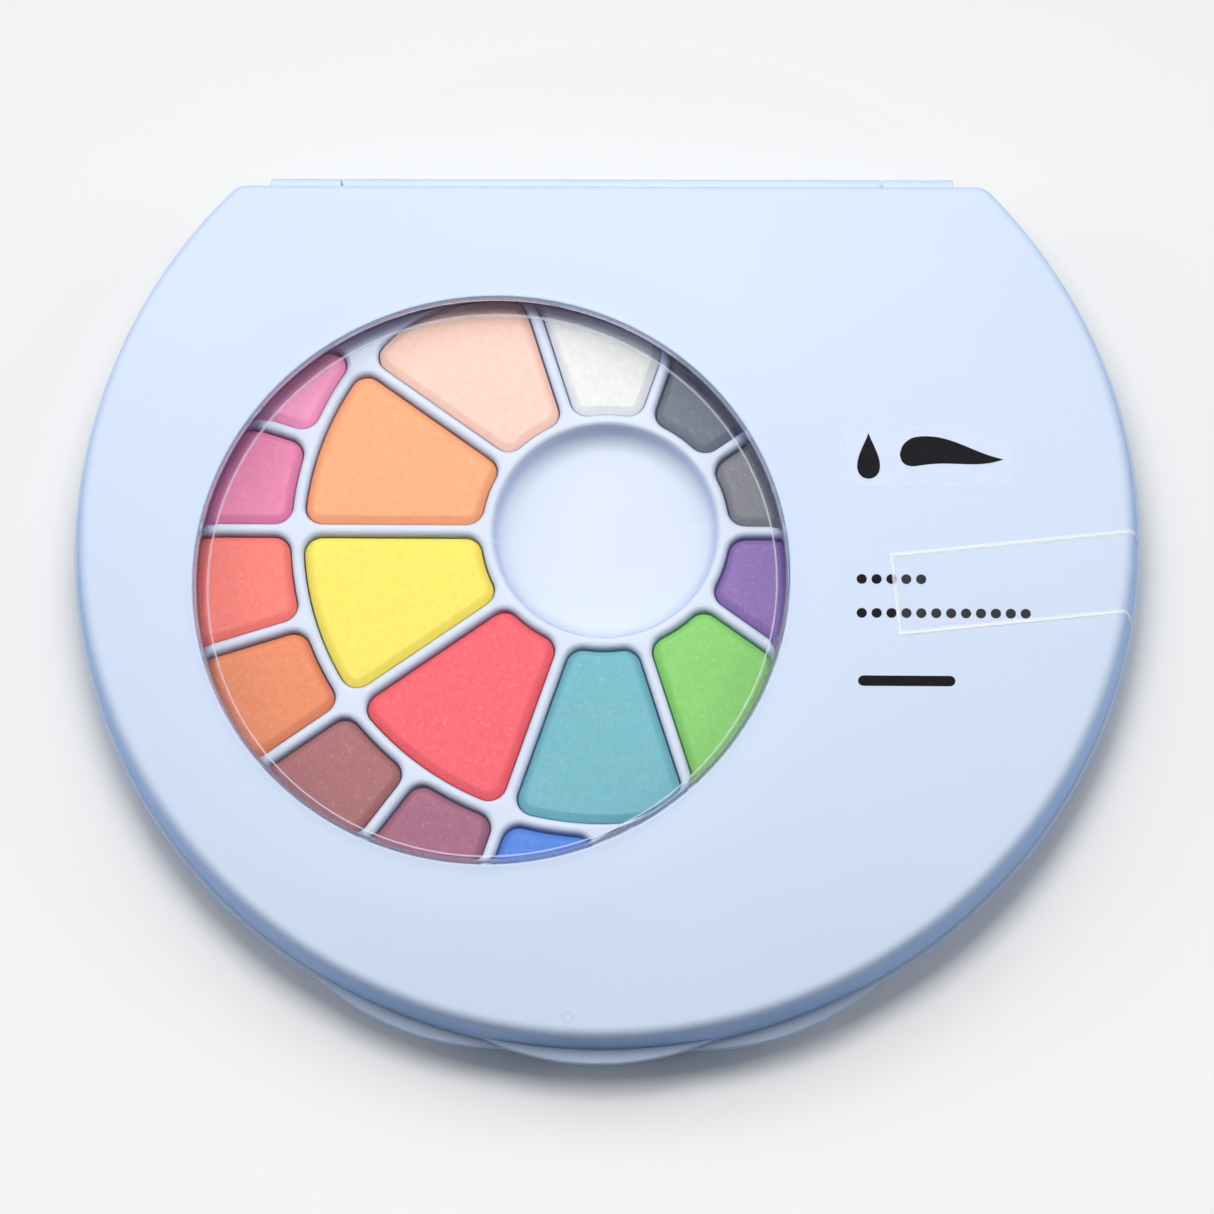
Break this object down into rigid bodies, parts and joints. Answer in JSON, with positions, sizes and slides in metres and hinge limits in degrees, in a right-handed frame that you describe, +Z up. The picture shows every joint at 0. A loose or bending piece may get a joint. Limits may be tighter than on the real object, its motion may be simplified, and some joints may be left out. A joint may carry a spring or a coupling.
{
  "type": "paint palette",
  "caption": "Round watercolour case with a flat hinged back, a lid with a dished clear window, and pressed paint cakes in two rings around a mixing well.",
  "frame": {"origin": "centre of the base's underside, on the axis of the case circle", "axes": "+X along the hinge, +Y towards the hinge at the back, +Z up through the lid"},
  "size_m": [0.2004, 0.1738, 0.0201],
  "materials": {
    "case_plastic": "glossy pale blue moulded plastic",
    "tray_plastic": "glossy paler moulded plastic",
    "clear_plastic": "clear moulded plastic",
    "clear_film": "thin clear film",
    "pin_steel": "drawn wire",
    "paint_grey": "dry pressed watercolour",
    "paint_charcoal": "dry pressed watercolour",
    "paint_white": "dry pressed watercolour",
    "paint_peach": "dry pressed watercolour",
    "paint_orange": "dry pressed watercolour",
    "paint_yellow": "dry pressed watercolour",
    "paint_red": "dry pressed watercolour",
    "paint_teal": "dry pressed watercolour",
    "paint_green": "dry pressed watercolour",
    "paint_purple": "dry pressed watercolour",
    "paint_pink": "dry pressed watercolour",
    "paint_rose": "dry pressed watercolour",
    "paint_coral": "dry pressed watercolour",
    "paint_terracotta": "dry pressed watercolour",
    "paint_brown": "dry pressed watercolour",
    "paint_plum": "dry pressed watercolour",
    "paint_blue": "dry pressed watercolour",
    "paint_navy": "dry pressed watercolour",
    "paint_sky": "dry pressed watercolour",
    "paint_emerald": "dry pressed watercolour",
    "paint_olive": "dry pressed watercolour",
    "paint_lime": "dry pressed watercolour",
    "paint_ochre": "dry pressed watercolour",
    "paint_lilac": "dry pressed watercolour"
  },
  "bodies": {
    "base": {"base_shell": "case_plastic", "pan_tray": "tray_plastic", "hinge_pin_left": "pin_steel", "hinge_pin_right": "pin_steel", "paint_grey": "paint_grey", "paint_charcoal": "paint_charcoal", "paint_white": "paint_white", "paint_peach": "paint_peach", "paint_orange": "paint_orange", "paint_yellow": "paint_yellow", "paint_red": "paint_red", "paint_teal": "paint_teal", "paint_green": "paint_green", "paint_purple": "paint_purple", "paint_pink": "paint_pink", "paint_rose": "paint_rose", "paint_coral": "paint_coral", "paint_terracotta": "paint_terracotta", "paint_brown": "paint_brown", "paint_plum": "paint_plum", "paint_blue": "paint_blue", "paint_navy": "paint_navy", "paint_sky": "paint_sky", "paint_emerald": "paint_emerald", "paint_olive": "paint_olive", "paint_lime": "paint_lime", "paint_ochre": "paint_ochre", "paint_lilac": "paint_lilac"},
    "lid": {"lid_shell": "case_plastic", "window_panel": "clear_plastic", "seal_film": "clear_film"}
  },
  "joints": [
    {"name": "lid_hinge", "type": "hinge", "parent": "base", "child": "lid", "pos_m": [0, 0.0699, 0.0125], "axis": [-1, 0, 0], "range_deg": [0, 180]}
  ]
}
